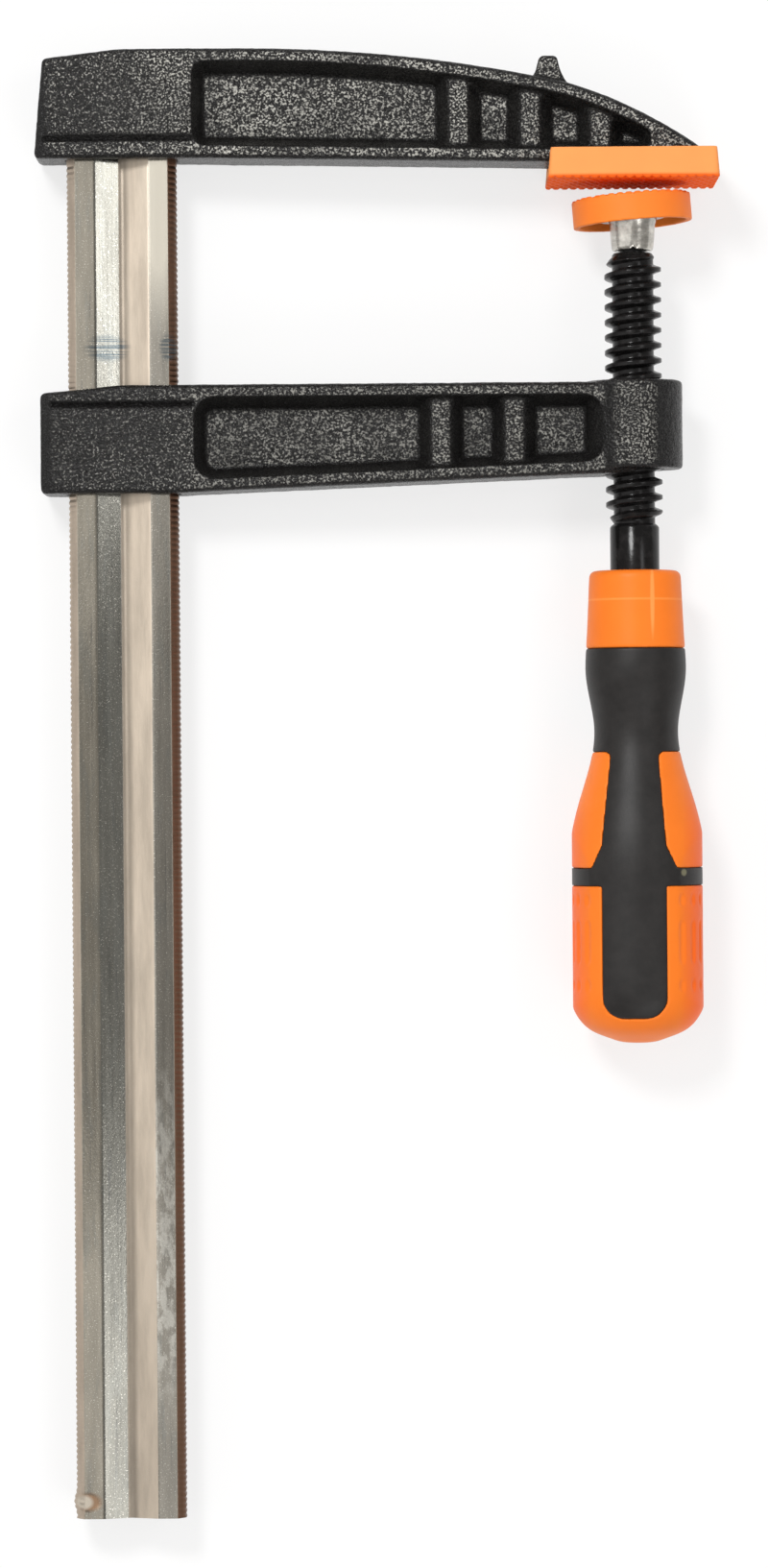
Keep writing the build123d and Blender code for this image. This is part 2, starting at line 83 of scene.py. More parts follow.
EDGE_SHARE = 0.6  # share of the tooth depth above which a point is on the toothed edge
NOTCH_GAIN, NOTCH_CUT = 1.6, 0.45  # how steep a notch is and how much of the wave is left as a tooth

# The castings, in metres.
POCKET_START = RAIL_HIGH.x + 0.0043
LINE_INSET = 0.0026  # from a head's left end to the start of its scored line
HEAD_LINES = {
    "fixed_arm": (FIXED_LOW.x + LINE_INSET, POCKET_START, 0.0119),
    "sliding_arm": (SLIDING_LOW.x + LINE_INSET, POCKET_START, -0.0578),
}
SCORED_FROM = 0.007  # height above the middle plane from which the line is pressed in
LUMP_SIZE, PEBBLE_SIZE = 0.009, 0.0015
EVENING_PASSES = 2  # how often the measure of the open faces is averaged
CASTINGS = (  # node, body, share of the painted glints on the head beside the pocket, brightness of the painted glints, lower on the sliding arm as painted shade
    ("fixed_arm", "rail", 0.9, 1.2),
    ("sliding_arm", "sliding_arm", 0.15, 0.72),
)

# The spindle, the neck, the pads and the handle, in metres.
THREAD_STEPS = 48  # points round one turn
STRIP_POINTS = 25  # points across the thread's strip
NECK_STEPS = 96
NICK_HEIGHT, NICK_LIFT, NICK_LIP, NICK_DEPTH = 0.0018, 0.0006, 0.0008, 0.04  # the depth is a share
NICK_NARROWNESS = 60
PAD_CELL = 0.0003
FACE_REACH, FACE_LEAN = 0.0009, 0.3  # how near a clamping face, and how square to it, a point is pressed
ROW_TO_BRICK = 1.5  # width of a row of the gripping pattern to the length of its bricks
END_NARROWNESS, ROW_NARROWNESS = 3, 6  # of the grooves between bricks and between rows
MOULDED_PASSES = 2

# Marks on plastic, each as a place, radii and a colour; some of them are painted shade.
# A deeper orange that paints shade on the handle's sides.
SHADED_SIDE_ORANGE = (0.95, 0.135, 0.009)
# Painted shade: a deeper orange on the pad's gripping face, which looks down away from the light.
SHADED_GRIPPING_FACE = ((0.0, -0.0002, 0.0), (0.06, 0.0017, 0.06), (0.95, 0.14, 0.012))
HANDLE_MARKS_AND_SHADE = (
    # Painted shade on the handle's left and right sides.
    ((-0.0245, -0.205, 0.0), (0.013, 0.075, 0.03), SHADED_SIDE_ORANGE),
    ((0.0215, -0.205, 0.0), (0.013, 0.075, 0.03), SHADED_SIDE_ORANGE),
    ((0.0, -0.1098, 0.0), (0.03, 0.0004, 0.03), (0.95, 0.27, 0.045)),  # a ring round the collar
    ((0.004, -0.1095, 0.013), (0.0007, 0.012, 0.006), (0.96, 0.31, 0.07)),  # the collar's mould seam
)
GATE_MARK = ((0.0116, -0.1815, 0.0135), (0.0009, 0.0011, 0.006), (0.16, 0.15, 0.09))

# The rail's wear, and painted light and shade on it, as colours and places.
SCRATCHED, TARNISHED, SPECKLED = (0.15, 0.15, 0.145), (0.26, 0.265, 0.245), (0.86, 0.83, 0.75)
# Of these, the second is a painted highlight on the right land.
SCUFFED, LAND_HIGHLIGHT, RUBBED = (0.66, 0.64, 0.58), (0.74, 0.69, 0.59), (0.075, 0.1, 0.115)
# Painted shade in the stop's dimple, in a rust brown, and painted light on its rim.
STOP_SHADE_BROWN, STOP_RIM_LIGHT = (0.34, 0.2, 0.115), (0.62, 0.56, 0.47)
MATT_TAN = (0.45, 0.45, 0.45)  # roughness where the plating mask is low, on the groove's floor and right slope and on the edges, as a grey
RUB_HEIGHT = -0.0427  # along Y
RUBS = ((-0.28, 0.0066), (0.84, 0.0028))  # places across the rail, as a share of its half, and half widths

# The stage.
SENSOR = 36.0
CAMERA_PLACE = (-0.0666, -0.1578)
FLOOR_SIZE, FLOOR_DROP, FLOOR_WHITE = 6.0, 0.0004, 0.72
HEAD_REST = 0.0026  # the floor's height under the heads, above the fixed arm's lowest point
SKY, SKY_STRENGTH = (1.0, 0.985, 0.96, 1.0), 0.42
LAMP_AIM = Vector((-0.08, -0.1, 0.0))
LAMPS = (  # name, place, size, watts
    ("key", (-0.5, 0.62, 1.38), (0.35, 0.35), 16.0),
    ("left_card", (-1.33, -0.22, 1.3), (0.8, 2.5), 5.0),
    ("right_upper", (0.92, 0.31, 1.4), (0.5, 0.4), 2.4),
    ("right_lower", (0.92, -0.66, 1.4), (0.5, 0.4), 1.25),
    ("top_card", (-0.2, 0.17, 1.5), (0.5, 0.4), 0.36),
    ("low_card", (-0.2, -0.55, 1.5), (0.4, 0.36), 0.26),
    ("low_fill", (0.3, -0.85, 0.8), (0.4, 0.4), 2.5),
)


class RailSettings(bpy.types.PropertyGroup):
    tooth_pitch: FloatProperty(
        name="Tooth pitch", description="Distance between the teeth on the rail's edges",
        default=0.00146, min=0.0005, unit="LENGTH", subtype="DISTANCE")
    tooth_depth: FloatProperty(
        name="Tooth depth", description="Depth of the notches between the teeth",
        default=0.00028, min=0.0, unit="LENGTH", subtype="DISTANCE")
    bevel: FloatProperty(
        name="Edge bevel", description="Width of the bevel along each toothed edge",
        default=0.0022, min=0.0, unit="LENGTH", subtype="DISTANCE")
    edge_flat: FloatProperty(
        name="Edge flat", description="Flat left between the bevels of an edge",
        default=0.0052, min=0.0, unit="LENGTH", subtype="DISTANCE")
    groove_width: FloatProperty(
        name="Groove width", description="Width of the groove in each broad face",
        default=0.0142, min=0.0, unit="LENGTH", subtype="DISTANCE")
    groove_depth: FloatProperty(
        name="Groove depth", description="Depth of the groove to the corner that its floor rounds",
        default=0.0026, min=0.0, unit="LENGTH", subtype="DISTANCE")
    groove_radius: FloatProperty(
        name="Groove radius", description="Radius of the groove's floor",
        default=0.002, min=0.0, unit="LENGTH", subtype="DISTANCE")
    zinc: FloatVectorProperty(
        name="Zinc colour", description="Colour of the plated left half",
        default=(0.4, 0.367, 0.305), subtype="COLOR", size=3, min=0.0, max=1.0)
    blue_zinc: FloatVectorProperty(
        name="Blue zinc colour", description="Colour of the plated right land",
        default=(0.365, 0.34, 0.295), subtype="COLOR", size=3, min=0.0, max=1.0)
    # The tan paints the reflection on the groove's right slope, and also feeds the painted shade on its floor
    # and the lighter left bevel.
    tan: FloatVectorProperty(
        name="Tarnish colour", description="Warm tarnish on the right side of the groove",
        default=(0.62, 0.53, 0.43), subtype="COLOR", size=3, min=0.0, max=1.0)
    # The brown paints the reflection on the right toothed edge.
    brown: FloatVectorProperty(
        name="Edge colour", description="Brown of the toothed edges",
        default=(0.165, 0.09, 0.055), subtype="COLOR", size=3, min=0.0, max=1.0)


class CastingSettings(bpy.types.PropertyGroup):
    grain: FloatProperty(
        name="Skin size", description="Size of the cells of the castings' skin",
        default=0.0005, min=0.0003, unit="LENGTH", subtype="DISTANCE")
    passes: IntProperty(
        name="Softening", description="How often the skin is smoothed, which rounds the cast edges",
        default=5, min=0, max=30)
    unevenness: FloatProperty(
        name="Unevenness", description="How far the cast surface wanders",
        default=0.00022, min=0.0, unit="LENGTH", subtype="DISTANCE")
    pebbling: FloatProperty(
        name="Pebbling", description="Height of the fine lumps that the mould leaves",
        default=0.00016, min=0.0, unit="LENGTH", subtype="DISTANCE")
    line_width: FloatProperty(
        name="Line width", description="Width of the scored line under each head's flange",
        default=0.0011, min=0.0002, unit="LENGTH", subtype="DISTANCE")
    line_depth: FloatProperty(
        name="Line depth", description="Depth of the scored line under each head's flange",
        default=0.0009, min=0.0, unit="LENGTH", subtype="DISTANCE")
    lacquer: FloatVectorProperty(
        name="Lacquer colour", description="Colour of the black lacquer",
        default=(0.0065, 0.006, 0.006), subtype="COLOR", size=3, min=0.0, max=1.0)
    # The glints are painted: a bright colour on the faces that the light falls on.
    glint: FloatVectorProperty(
        name="Fleck colour", description="Colour of the bright flecks where the lacquer shines or has worn",
        default=(0.42, 0.41, 0.375), subtype="COLOR", size=3, min=0.0, max=1.0)


class SpindleSettings(bpy.types.PropertyGroup):
    pitch: FloatProperty(
        name="Pitch", description="Advance of the thread in one turn",
        default=0.004, min=0.001, unit="LENGTH", subtype="DISTANCE")
    crest_diameter: FloatProperty(
        name="Crest diameter", description="Diameter over the thread",
        default=SPINDLE_HIGH.x - SPINDLE_LOW.x, min=0.002, unit="LENGTH", subtype="DISTANCE")
    root_diameter: FloatProperty(
        name="Root diameter", description="Diameter in the bottom of the thread",
        default=0.0109, min=0.001, unit="LENGTH", subtype="DISTANCE")
    shank_diameter: FloatProperty(
        name="Shank diameter", description="Diameter of the plain shank above the handle",
        default=0.013, min=0.001, unit="LENGTH", subtype="DISTANCE")
    thread_top: FloatProperty(
        name="Thread start", description="Upper end of the thread, along the spindle",
        default=-0.0190, unit="LENGTH", subtype="DISTANCE")
    thread_end: FloatProperty(
        name="Thread end", description="Lower end of the thread, along the spindle",
        default=-0.0897, unit="LENGTH", subtype="DISTANCE")


class PadSettings(bpy.types.PropertyGroup):
    waffle_pitch: FloatProperty(
        name="Waffle pitch", description="Length of a brick of the gripping pattern",
        default=0.0023, min=0.0008, unit="LENGTH", subtype="DISTANCE")
    waffle_depth: FloatProperty(
        name="Waffle depth", description="Depth of the gripping pattern",
        default=0.00045, min=0.0, unit="LENGTH", subtype="DISTANCE")
    # A lighter orange than the cap's, of the same plastic, that paints the sheen of light on the pad's front.
    lit_pad_orange: FloatVectorProperty(
        name="Pad orange", description="Colour of the fixed jaw's pad",
        default=(0.93, 0.335, 0.095), subtype="COLOR", size=3, min=0.0, max=1.0)
    cap_orange: FloatVectorProperty(
        name="Cap orange", description="Colour of the pressure cap",
        default=(0.93, 0.225, 0.025), subtype="COLOR", size=3, min=0.0, max=1.0)


class HandleSettings(bpy.types.PropertyGroup):
    core_skin: FloatProperty(
        name="Core skin size", description="Size of the cells of the orange core's skin",
        default=0.00047, min=0.00046, unit="LENGTH", subtype="DISTANCE")
    grip_skin: FloatProperty(
        name="Grip skin size", description="Size of the cells of the black grip's skin",
        default=0.0004, min=0.00038, unit="LENGTH", subtype="DISTANCE")
    orange: FloatVectorProperty(
        name="Orange", description="Colour of the handle's orange plastic",
        default=(0.93, 0.205, 0.018), subtype="COLOR", size=3, min=0.0, max=1.0)
    soft_black: FloatVectorProperty(
        name="Soft grip colour", description="Colour of the black soft grip",
        default=(0.013, 0.0115, 0.011), subtype="COLOR", size=3, min=0.0, max=1.0)


class StageSettings(bpy.types.PropertyGroup):
    distance: FloatProperty(
        name="Camera distance", description="Camera above the clamp's middle plane",
        default=1.5, min=0.2, unit="LENGTH", subtype="DISTANCE")
    view_height: FloatProperty(
        name="View height", description="Height of the picture on the clamp's middle plane",
        default=0.4134, min=0.05, unit="LENGTH", subtype="DISTANCE")
    roll: FloatProperty(
        name="Roll", description="Turn of the camera about its own axis",
        default=radians(-0.45), unit="ROTATION", subtype="ANGLE")


def settings(name):
    """The panel's settings for one group of pieces."""
    return getattr(bpy.context.scene, "clamp_" + name)


class Finish:
    """A material under construction: a shader and the nodes that feed it."""

    def __init__(self, name):
        self.material = bpy.data.materials.new(name)
        self.material.use_nodes = True
        self.tree = self.material.node_tree
        self.tree.nodes.clear()
        self.shader = self.tree.nodes.new("ShaderNodeBsdfPrincipled")
        self.surface = self.tree.nodes.new("ShaderNodeOutputMaterial").inputs["Surface"]
        self.tree.links.new(self.shader.outputs["BSDF"], self.surface)
        self.place = self.tree.nodes.new("ShaderNodeTexCoord").outputs["Object"]

    def set(self, **values):
        """Sets numbers and colours that are the same all over."""
        for name, value in values.items():
            self.shader.inputs[name.replace("_", " ")].default_value = value

    def link(self, source, target):
        self.tree.links.new(source, target)

    def node(self, kind, **inputs):
        made = self.tree.nodes.new(kind)
        for key, value in inputs.items():
            made.inputs[key.replace("_", " ")].default_value = value
        return made

    def stretched(self, x, y, z):
        """Object coordinates scaled along each axis."""
        mapping = self.node("ShaderNodeMapping")
        mapping.inputs["Scale"].default_value = (x, y, z)
        self.link(self.place, mapping.inputs["Vector"])
        return mapping.outputs["Vector"]

    def noise(self, scale, detail=2.0, roughness=0.5, vector=None):
        made = self.node("ShaderNodeTexNoise", Scale=scale, Detail=detail, Roughness=roughness)
        self.link(vector or self.place, made.inputs["Vector"])
        return made.outputs["Fac"]

    def ramp(self, source, *stops):
        """A colour ramp through (position, number or colour) stops."""
        made = self.tree.nodes.new("ShaderNodeValToRGB")
        colours = made.color_ramp.elements
        while len(colours) < len(stops):
            colours.new(0.5)
        for element, (position, colour) in zip(colours, stops):
            element.position = position
            element.color = (*colour, 1.0) if isinstance(colour, tuple) else (colour, colour, colour, 1.0)
        self.link(source, made.inputs["Fac"])
        return made.outputs["Color"]

    def mixed(self, factor, first, second):
        """The first colour where the factor is 0 and the second where it is 1."""
        made = self.tree.nodes.new("ShaderNodeMix")
        made.data_type = "RGBA"
        sockets = (made.inputs["Factor"], made.inputs[6], made.inputs[7])
        for value, socket in zip((factor, first, second), sockets):
            if isinstance(value, bpy.types.NodeSocket):
                self.link(value, socket)
            elif isinstance(value, tuple):
                socket.default_value = (*value, 1.0)
            else:
                socket.default_value = value
        return made.outputs[2]

    def axis(self, name, low, high):
        """How far a point lies along an axis between two places, from 0 to 1."""
        parts = self.tree.nodes.new("ShaderNodeSeparateXYZ")
        self.link(self.place, parts.inputs[0])
        made = self.node("ShaderNodeMapRange")
        made.clamp = False
        made.inputs["From Min"].default_value = low
        made.inputs["From Max"].default_value = high
        self.link(parts.outputs[name], made.inputs["Value"])
        return made.outputs["Result"]

    def attribute(self, name):
        """A number stored on the piece's own points."""
        made = self.tree.nodes.new("ShaderNodeAttribute")
        made.attribute_name = name
        return made.outputs["Fac"]

    def spot(self, centre, radii):
        """A soft-edged patch: 1 at a place and 0 past the radii."""
        shift = self.node("ShaderNodeMapping")
        shift.inputs["Location"].default_value = [-c / r for c, r in zip(centre, radii)]
        shift.inputs["Scale"].default_value = [1 / r for r in radii]
        self.link(self.place, shift.inputs["Vector"])
        length = self.tree.nodes.new("ShaderNodeVectorMath")
        length.operation = "LENGTH"
        self.link(shift.outputs["Vector"], length.inputs[0])
        return self.ramp(length.outputs["Value"], (0.6, 1.0), (1.0, 0.0))

    def calc(self, operation, first, second):
        made = self.tree.nodes.new("ShaderNodeMath")
        made.operation = operation
        self.link(first, made.inputs[0])
        if isinstance(second, bpy.types.NodeSocket):
            self.link(second, made.inputs[1])
        else:
            made.inputs[1].default_value = second
        return made.outputs[0]

    def product(self, first, second):
        return self.calc("MULTIPLY", first, second)

    def multiplied(self, first, second):
        made = self.tree.nodes.new("ShaderNodeMix")
        made.data_type = "RGBA"
        made.blend_type = "MULTIPLY"
        made.inputs["Factor"].default_value = 1.0
        self.link(first, made.inputs[6])
        self.link(second, made.inputs[7])
        return made.outputs[2]

    def colour(self, source):
        self.link(source, self.shader.inputs["Base Color"])

    def roughness(self, source, low, high):
        """Roughness between two values that follows a source."""
        made = self.node("ShaderNodeMapRange")
        made.inputs["To Min"].default_value = low
        made.inputs["To Max"].default_value = high
        self.link(source, made.inputs["Value"])
        self.link(made.outputs["Result"], self.shader.inputs["Roughness"])

    def bump(self, source, distance, strength=1.0, after=None):
        """Fine relief from a source, on top of an earlier one."""
        made = self.node("ShaderNodeBump", Strength=strength, Distance=distance)
        self.link(source, made.inputs["Height"])
        if after is not None:
            self.link(after, made.inputs["Normal"])
        self.link(made.outputs["Normal"], self.shader.inputs["Normal"])
        return made.outputs["Normal"]


def plated_rail_finish():
    """Zinc plate in bands across the rail that paint light, shade and reflection on its faces, with tarnish and
    wear, and painted shade and light round the stop.
    """
    s = settings("rail")
    zinc, blue, warm, brown = tuple(s.zinc), tuple(s.blue_zinc), tuple(s.tan), tuple(s.brown)
    f = Finish("plated_rail")
    f.set(Metallic=1.0)
    x = f.axis("X", RAIL_MIDDLE - RAIL_HALF, RAIL_MIDDLE + RAIL_HALF)
    # Bands across the rail that paint its light, shade and reflection: a lighter left bevel as painted light, a
    # darker left slope as painted shade, painted shade on the groove's floor, and a tan right slope and brown
    # right bevel as painted reflection.
    lit_left_edge = tuple(0.75 * a + 0.25 * b for a, b in zip(warm, brown))
    slope = tuple(c * share for c, share in zip(zinc, (0.69, 0.735, 0.785)))
    shade = tuple(c * 0.6 for c in warm)
    bands = f.ramp(
        x, (0.0, lit_left_edge), (0.075, lit_left_edge), (0.082, zinc), (0.25, zinc), (0.26, slope), (0.468, slope),
        (0.476, shade), (0.535, shade), (0.575, warm), (0.744, warm), (0.75, blue), (0.918, blue),
        (0.925, brown), (1.0, brown))
    plated = f.ramp(
        x, (0.08, 0.0), (0.085, 1.0), (0.468, 1.0), (0.476, 0.12), (0.744, 0.12), (0.75, 1.0),
        (0.915, 1.0), (0.92, 0.0))
    streaks = f.noise(1.0, 4.0, 0.6, f.stretched(900.0, 12.0, 900.0))
    patches = f.noise(1.0, 4.0, 0.65, f.stretched(260.0, 40.0, 260.0))
    patches = f.ramp(patches, (0.35, 0.78), (0.65, 1.0))
    base = f.multiplied(bands, patches)
    scratches = f.noise(1.0, 5.0, 0.7, f.stretched(1500.0, 40.0, 1500.0))
    scratches = f.ramp(scratches, (0.58, 0.0), (0.66, 1.0))
    tarnish = f.noise(1.0, 4.0, 0.6, f.stretched(420.0, 60.0, 420.0))
    tarnish = f.ramp(tarnish, (0.52, 0.0), (0.62, 1.0))
    specks = f.ramp(f.noise(2600.0, 2.0, 0.6), (0.62, 0.0), (0.69, 1.0))
    for marks, share, colour in (
        (scratches, 0.6, SCRATCHED), (tarnish, 0.35, TARNISHED), (specks, 0.65, SPECKLED),
    ):
        base = f.mixed(f.product(f.product(marks, share), plated), base, colour)
    clean = f.noise(1.0, 4.0, 0.65, f.stretched(420.0, 170.0, 420.0))
    clean = f.ramp(clean, (0.44, 0.0), (0.56, 1.0))
    scuff = f.product(f.spot((RIGHT_LAND, -0.276, 0.005), (0.0065, 0.05, 0.01)), plated)
    base = f.mixed(f.product(f.product(scuff, clean), 0.6), base, SCUFFED)
    # A painted highlight at the top of the right land.
    land_highlight = f.product(f.spot((RIGHT_LAND, 0.008, 0.005), (0.0065, 0.05, 0.01)), plated)
    base = f.mixed(f.product(land_highlight, 0.9), base, LAND_HIGHLIGHT)
    lines = f.noise(1.0, 3.0, 0.6, f.stretched(50.0, 2200.0, 50.0))
    lines = f.ramp(lines, (0.42, 0.0), (0.54, 1.0))
    for across, width in RUBS:
        rub = f.spot((RAIL_MIDDLE + RAIL_HALF * across, RUB_HEIGHT, 0.004), (width, 0.004, 0.02))
        base = f.mixed(f.product(f.product(rub, lines), 0.8), base, RUBBED)
    # Round the punched stop: a rust-brown patch that paints the shade in its dimple, and a pale patch on its
    # left that paints the light on its rim.
    dimple_shade = f.spot((STOP.x + 0.0003, STOP.y, 0.005), (0.0038, 0.0028, 0.01))
    base = f.mixed(f.product(dimple_shade, 0.85), base, STOP_SHADE_BROWN)
    worn = f.spot((STOP.x - 0.0011, STOP.y, 0.005), (0.0028, 0.0022, 0.01))
    base = f.mixed(f.product(worn, 0.9), base, STOP_RIM_LIGHT)
    f.colour(base)
    polish = f.mixed(plated, MATT_TAN, f.ramp(streaks, (0.3, 0.09), (0.7, 0.17)))
    f.link(polish, f.shader.inputs["Roughness"])
    grain = f.noise(1.0, 2.0, 0.6, f.stretched(2200.0, 900.0, 2200.0))
    f.bump(grain, 0.00004, 0.3, after=f.bump(streaks, 0.00004, 0.3))
    return f.material


def cast_lacquer_finish(name, head_end, head_glint_share, glint_brightness):
    """Black lacquer with painted glints on a casting's open faces, which leave its walls and its end dark as
    painted shade.
    """
    s = settings("casting")
    black, bright = tuple(s.lacquer), tuple(c * glint_brightness for c in s.glint)
    f = Finish(name)
    f.set(Specular_IOR_Level=0.25)
    grain = f.noise(1500.0, 2.0, 0.55)
    lumps = f.noise(420.0, 2.0, 0.5)
    spread = f.noise(1800.0, 2.0, 0.55)
    # Painted glints, fewer on the head's left and more towards the pocket, where more light falls.
    few = f.ramp(spread, (0.58, 0.0), (0.66, 1.0))
    many = f.ramp(spread, (0.51, 0.0), (0.63, 1.0))
    right = f.axis("X", head_end, POCKET_START)
    glints = f.mixed(f.ramp(right, (0.3, 0.0), (0.95, head_glint_share), (1.02, 1.0)), few, many)
    rubbed = f.ramp(f.noise(70.0, 3.0, 0.6), (0.3, 0.45), (0.6, 1.0))
    # The glints are painted only on faces that look out of the broad sides, where the light falls, so the walls
    # stay dark as in shade.
    lit_faces = f.ramp(f.attribute("open_face"), (0.88, 0.05), (0.955, 1.0))
    # Painted shade at the head's left end: few glints where its rounded end turns from the light.
    lit_faces = f.product(lit_faces, f.ramp(right, (0.055, 0.08), (0.1, 0.7), (0.5, 1.0)))
    f.colour(f.mixed(f.product(f.product(glints, rubbed), lit_faces), black, bright))
    f.roughness(grain, 0.2, 0.36)
    f.bump(grain, 0.0005, 1.0, after=f.bump(lumps, 0.0005, 0.6))
    return f.material


def orange_plastic_finish(name, orange, gloss, roughest, marks=()):
    """Satin plastic with marks of another colour, each at a (place, radii, colour), some of which are painted
    shade.
    """
    f = Finish(name)
    f.set(Specular_IOR_Level=gloss)
    patches = f.noise(90.0, 3.0, 0.5)
    base = f.ramp(patches, (0.3, tuple(c * 0.94 for c in orange)), (0.7, orange))
    for place, radii, colour in marks:
        base = f.mixed(f.spot(place, radii), base, colour)
    f.colour(base)
    texture = f.noise(2000.0, 2.0, 0.6)
    f.roughness(texture, roughest - 0.14, roughest)
    f.bump(texture, 0.00003, 0.5)
    return f.material


def soft_grip_finish():
    """Dusty soft black with the pale mark of a mould's gate."""
    black = tuple(settings("handle").soft_black)
    f = Finish("soft_grip")
    f.set(Specular_IOR_Level=0.3)
    dust = f.noise(240.0, 4.0, 0.6)
    base = f.ramp(dust, (0.35, black), (0.75, tuple(c * 1.6 for c in black)))
    place, radii, pale = GATE_MARK
    f.colour(f.mixed(f.spot(place, radii), base, pale))
    texture = f.noise(2400.0, 2.0, 0.6)
    f.roughness(texture, 0.4, 0.55)
    f.bump(texture, 0.00003, 0.5)
    return f.material


def black_oxide_finish():
    """Oiled black oxide with a little wear."""
    f = Finish("black_oxide")
    f.set(Specular_IOR_Level=0.2)
    wear = f.noise(380.0, 4.0, 0.6)
    f.colour(f.ramp(wear, (0.45, (0.006, 0.0055, 0.0055)), (0.8, (0.02, 0.018, 0.018))))
    f.roughness(wear, 0.12, 0.26)
    f.bump(f.noise(1100.0, 3.0, 0.6), 0.00006, 0.5)
    return f.material


def bright_zinc_finish(name, tint):
    """Turned and plated steel with stains."""
    f = Finish(name)
    f.set(Metallic=1.0)
    streaks = f.noise(1.0, 3.0, 0.6, f.stretched(500.0, 1600.0, 500.0))
    stain = f.ramp(f.noise(300.0, 3.0, 0.6), (0.35, 0.6), (0.65, 1.0))
    turned = f.ramp(streaks, (0.3, tuple(c * 0.85 for c in tint)), (0.7, tint))
    f.colour(f.multiplied(turned, stain))
    f.roughness(streaks, 0.16, 0.32)
    f.bump(f.noise(1400.0, 2.0, 0.6), 0.00005, 0.5)
    return f.material


def piece(name, mesh, material, body, slot, *nodes, sharp):
    """Makes a finished piece that rides on a body and stands for CAD nodes."""
    mesh.materials.clear()
    mesh.materials.append(material)
    mesh.shade_smooth()
    mesh.set_sharp_from_angle(angle=radians(sharp))
    made = bpy.data.objects.new(name, mesh)
    bpy.context.scene.collection.objects.link(made)
    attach(made, body)
    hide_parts(*nodes)


def evaluated_mesh(holder):
    """The holder's mesh with its modifiers applied, as a plain mesh; the holder goes."""
    graph = bpy.context.evaluated_depsgraph_get()
    mesh = bpy.data.meshes.new_from_object(holder.evaluated_get(graph), depsgraph=graph)
    old = holder.data
    bpy.data.objects.remove(holder)
    bpy.data.meshes.remove(old)
    return mesh


def skin(node, cell, passes, waves=()):
    """A fine, softened skin over a CAD node, as a moulding has, with waves of (size, height)."""
    shell = bmesh.new()
    shell.from_mesh(frame["nodes"][node].data)
    bmesh.ops.remove_doubles(shell, verts=shell.verts, dist=1e-6)
    holder = bpy.data.objects.new(node + "_holder", to_mesh(shell, node + "_skin"))
    bpy.context.scene.collection.objects.link(holder)
    cells = holder.modifiers.new("cells", "REMESH")
    cells.mode = "VOXEL"
    cells.voxel_size = cell
    if passes:
        soften = holder.modifiers.new("soften", "SMOOTH")
        soften.factor = 0.5
        soften.iterations = passes
    for size, height in waves:
        clouds = bpy.data.textures.new(node + "_clouds", "CLOUDS")
        clouds.noise_scale = size
        clouds.noise_depth = 2
        wander = holder.modifiers.new("wander", "DISPLACE")
        wander.texture = clouds
        wander.texture_coords = "LOCAL"
        wander.strength = height
        wander.mid_level = 1.0
    return evaluated_mesh(holder)


def lathe(profile, segments):
    """A shell turned about the Y axis from (radius, height) points, closed where they meet the axis."""
    shell = bmesh.new()
    rings = []
    for radius, height in profile:
        if radius < 1e-7:
            rings.append([shell.verts.new((0.0, height, 0.0))])
        else:
            rings.append([
                shell.verts.new((radius * cos(a), height, radius * sin(a)))
                for a in (2 * pi * k / segments for k in range(segments))
            ])
    for first, second in zip(rings, rings[1:]):
        for k in range(segments):
            n = (k + 1) % segments
            corners = [ring[i % len(ring)] for ring, i in ((first, k), (first, n), (second, n), (second, k))]
            unique = list(dict.fromkeys(corners))
            if len(unique) > 2:
                shell.faces.new(unique)
    bmesh.ops.recalc_face_normals(shell, faces=shell.faces)
    return shell


def to_mesh(shell, name):
    """The shell as a mesh; the shell goes."""
    mesh = bpy.data.meshes.new(name)
    shell.to_mesh(mesh)
    shell.free()
    return mesh


def rail_section():
    """Points round the rail's section, as (across, up, share of the tooth depth)."""
    s = settings("rail")
    thick = (RAIL_HIGH.z - RAIL_LOW.z) / 2
    flat, bevel, groove = s.edge_flat / 2, s.bevel, s.groove_width / 2
    land = RAIL_HALF - bevel
    slope = atan2(s.groove_depth, groove)
    rise = s.groove_radius / cos(slope) - s.groove_depth

    def quarter(land_steps):
        points = [(RAIL_HALF, 0.0, 1.0), (RAIL_HALF, flat * 0.6, 1.0), (RAIL_HALF - 0.0002, flat, 1.0)]
        for k in (0.33, 0.66):
            points.append((RAIL_HALF - bevel * k, flat + (thick - flat) * k, 1.0 - 0.3 * k))
        points.append((land + 0.00018, thick - 0.00012, 0.35))
        first, last = land - 0.00015, groove + GROOVE_LIP * tan(slope / 2)
        points += [(first + (last - first) * k / land_steps, thick, 0.0) for k in range(land_steps + 1)]
        for k in (0.25, 0.5, 0.75, 1.0):
            turn = slope * k
            points.append((last - GROOVE_LIP * sin(turn), thick - GROOVE_LIP * (1 - cos(turn)), 0.0))
        for k in (1.0, 0.66, 0.33, 0.0):
            turn = slope * k
            points.append((s.groove_radius * sin(turn), thick + rise - s.groove_radius * cos(turn), 0.0))
        return points

    plain, fine = quarter(3), quarter(14)
    front = plain + [(-x, z, w) for x, z, w in reversed(fine[:-1])]
    back = [(-x, -z, w) for x, z, w in plain[1:]] + [(x, -z, w) for x, z, w in reversed(plain[1:-1])]
    return front + back


